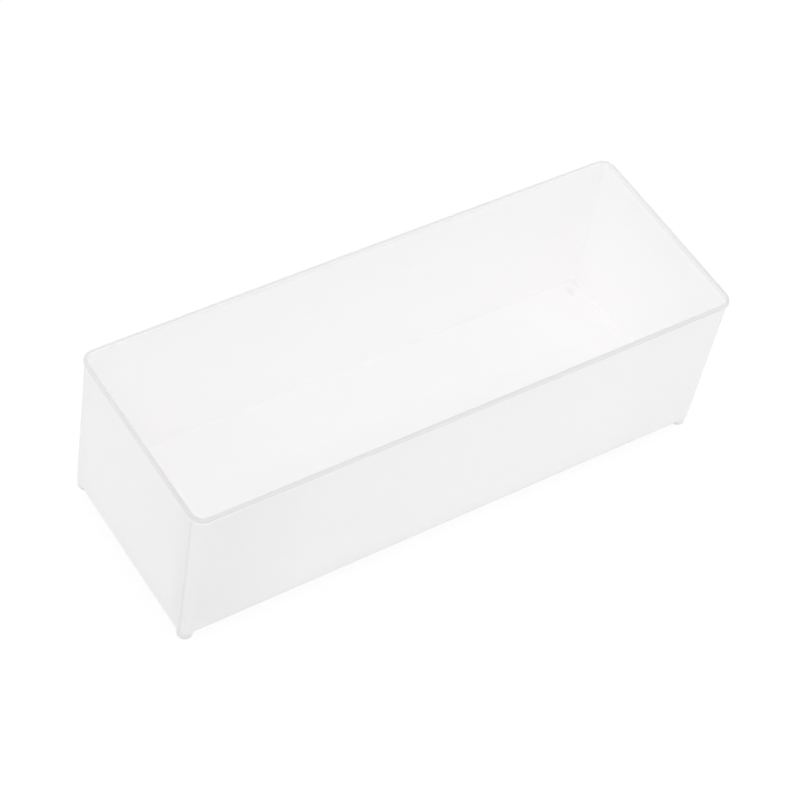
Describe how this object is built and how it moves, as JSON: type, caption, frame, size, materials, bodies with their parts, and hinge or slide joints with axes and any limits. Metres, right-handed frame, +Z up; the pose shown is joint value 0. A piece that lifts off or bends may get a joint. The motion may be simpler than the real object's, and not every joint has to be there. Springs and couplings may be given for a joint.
{
  "type": "open-topped storage bin insert",
  "caption": "Open-topped rectangular bin for small parts, in translucent moulded plastic, with drafted walls, rounded corners, a narrow rim and short round feet.",
  "frame": {"origin": "centre of the footprint, on the surface that the feet stand on", "axes": "+X along the length, +Y across the width towards the back, +Z up out of the mouth"},
  "size_m": [0.153, 0.0556, 0.0476],
  "materials": {
    "plastic": "natural translucent polypropylene, satin"
  },
  "bodies": {
    "root": {"floor": "plastic", "front_wall": "plastic", "back_wall": "plastic", "left_end_wall": "plastic", "right_end_wall": "plastic", "front_left_corner": "plastic", "front_right_corner": "plastic", "back_left_corner": "plastic", "back_right_corner": "plastic", "rim": "plastic", "front_left_foot": "plastic", "front_right_foot": "plastic", "back_left_foot": "plastic", "back_right_foot": "plastic"}
  },
  "joints": []
}
